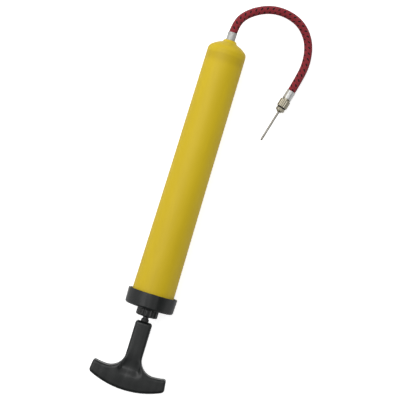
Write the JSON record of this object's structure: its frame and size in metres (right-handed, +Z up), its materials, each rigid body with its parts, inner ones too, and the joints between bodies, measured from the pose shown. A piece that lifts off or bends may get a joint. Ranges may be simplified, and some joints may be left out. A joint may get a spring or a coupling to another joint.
{
  "type": "ball inflation pump",
  "caption": "Hand pump with a tapered yellow barrel, black T handle on a sliding plunger, and a short braided hose that ends in an inflation needle.",
  "frame": {"origin": "on the surface that the pump lies on, under the middle of the box round the pump without its hose", "axes": "+Z up; +Y along the pump from the handle to the nose, which lies 1.27 degrees nose down; +X towards the side where the hose curls round"},
  "size_m": [0.1029, 0.3448, 0.0422],
  "materials": {
    "barrel_plastic": "satin moulded yellow",
    "black_plastic": "fine matt, moulded",
    "black_rubber": "matt",
    "felt": "oiled felt",
    "brass": "turned",
    "steel": "zinc plated",
    "spring_steel": "drawn wire",
    "blackened_steel": "black, satin",
    "piston_nylon": "natural nylon",
    "ferrule_aluminium": "bright, crimped",
    "hose_braid": "woven red cover with black flecks",
    "nickel_plate": "nickel plated, warm",
    "needle_steel": "drawn tube"
  },
  "bodies": {
    "pump_body": {"barrel": "barrel_plastic", "end_cap": "black_plastic", "cap_gasket": "black_rubber", "gland_nut": "black_plastic", "rod_wiper": "felt", "valve_seat": "brass", "valve_spring": "spring_steel", "hose_nipple": "brass", "nipple_o_ring": "black_rubber", "near_ferrule": "ferrule_aluminium", "hose": "hose_braid", "far_ferrule": "ferrule_aluminium", "needle_socket": "nickel_plate"},
    "piston": {"piston": "piston_nylon"},
    "plunger": {"plunger_rod": "blackened_steel", "handle": "black_plastic", "stop_bumper": "black_rubber", "thrust_washer": "steel", "piston_washer": "steel", "piston_nut": "steel"},
    "piston_ring": {"piston_ring": "black_rubber"},
    "valve_ball": {"valve_ball": "steel"},
    "needle_gasket": {"needle_gasket": "black_rubber"},
    "needle": {"needle_hub": "nickel_plate", "needle_tube": "needle_steel"}
  },
  "joints": [
    {"name": "plunger_slide", "type": "slide", "parent": "pump_body", "child": "piston", "axis": [0, -0.9998, 0.0222], "range_m": [-0.0018, 0.192]},
    {"name": "handle_turn", "type": "hinge", "parent": "piston", "child": "plunger", "pos_m": [0, 0.1238, 0.01673], "axis": [0, 0.9998, -0.0222], "continuous": true},
    {"name": "ring_float", "type": "slide", "parent": "piston", "child": "piston_ring", "axis": [0, 0.9998, -0.0222], "range_m": [0, 0.0007]},
    {"name": "valve_lift", "type": "slide", "parent": "pump_body", "child": "valve_ball", "axis": [0, 0.9998, -0.0222], "range_m": [0, 0.001], "stiffness_N_per_m": 40, "springref_m": -0.003, "deforming": ["valve_spring"]},
    {"name": "needle_withdraw", "type": "slide", "parent": "pump_body", "child": "needle_gasket", "axis": [-0.2595, -0.9657, 0], "range_m": [0, 0.004]},
    {"name": "needle_turn", "type": "hinge", "parent": "needle_gasket", "child": "needle", "pos_m": [0.05641, 0.10329, 0.0046], "axis": [-0.2595, -0.9657, 0], "range_deg": [0, 1800]}
  ],
  "couplings": [
    {"joint": "needle_turn", "follows": "needle_withdraw", "rad_per_m": 7854}
  ]
}
